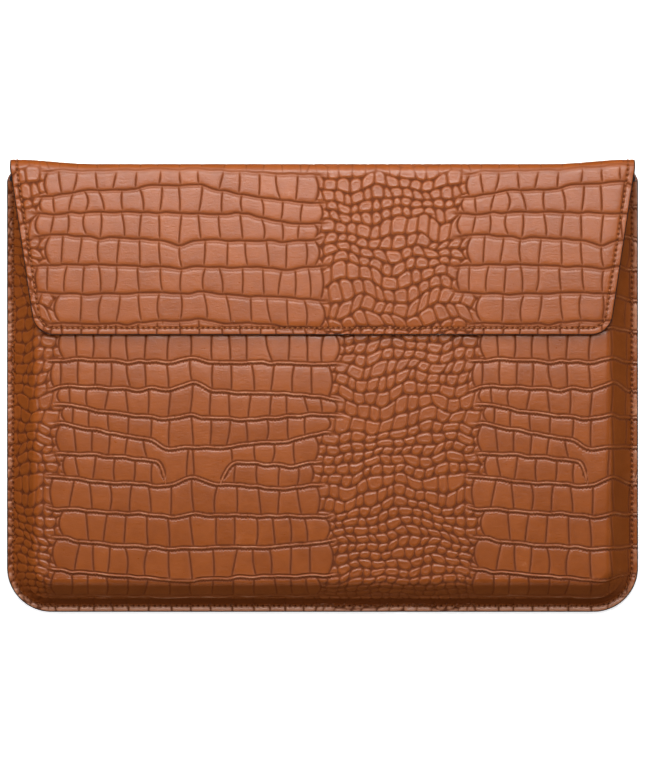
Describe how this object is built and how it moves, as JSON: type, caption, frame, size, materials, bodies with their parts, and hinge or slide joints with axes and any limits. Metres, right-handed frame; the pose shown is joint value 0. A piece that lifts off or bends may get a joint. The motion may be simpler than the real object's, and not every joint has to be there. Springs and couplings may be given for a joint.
{
  "type": "laptop sleeve",
  "caption": "Slim envelope laptop sleeve in embossed leather: moulded pocket front, sewn edge, and a wide flap that folds over the mouth and closes on hidden magnets.",
  "frame": {"origin": "under the middle of the closed sleeve's box, on the surface that its back lies on", "axes": "+X along the width, +Y from the sewn bottom edge to the folded top edge, +Z out of the front"},
  "size_m": [0.35, 0.2504, 0.0249],
  "materials": {
    "embossed_leather": "satin, embossed in a reptile-scale pattern",
    "lining": "black microfibre",
    "thread": "brown polyester thread",
    "stiffener_board": "grey board",
    "padding_foam": "open-cell foam",
    "moulded_foam": "moulded closed-cell foam",
    "magnet": "nickel-plated",
    "keeper_steel": "zinc-plated steel"
  },
  "bodies": {
    "pocket": {"back_cover": "embossed_leather", "back_board": "stiffener_board", "back_foam": "padding_foam", "back_lining": "lining", "front_cover": "embossed_leather", "front_shell": "moulded_foam", "front_lining": "lining", "keeper_plate_left": "keeper_steel", "keeper_plate_right": "keeper_steel", "perimeter_thread": "thread", "mouth_thread": "thread"},
    "spine": {"spine_cover": "embossed_leather", "spine_lining": "lining", "spine_thread_left": "thread", "spine_thread_right": "thread"},
    "flap": {"flap_cover": "embossed_leather", "flap_board": "stiffener_board", "flap_lining": "lining", "flap_magnet_left": "magnet", "flap_magnet_right": "magnet", "flap_thread": "thread"}
  },
  "joints": [
    {"name": "spine_fold", "type": "hinge", "parent": "pocket", "child": "spine", "pos_m": [0, 0.12382, 0.00143], "axis": [-1, 0, 0], "range_deg": [0, 90]},
    {"name": "flap_fold", "type": "hinge", "parent": "spine", "child": "flap", "pos_m": [0, 0.12382, 0.02312], "axis": [-1, 0, 0], "range_deg": [0, 90]}
  ]
}
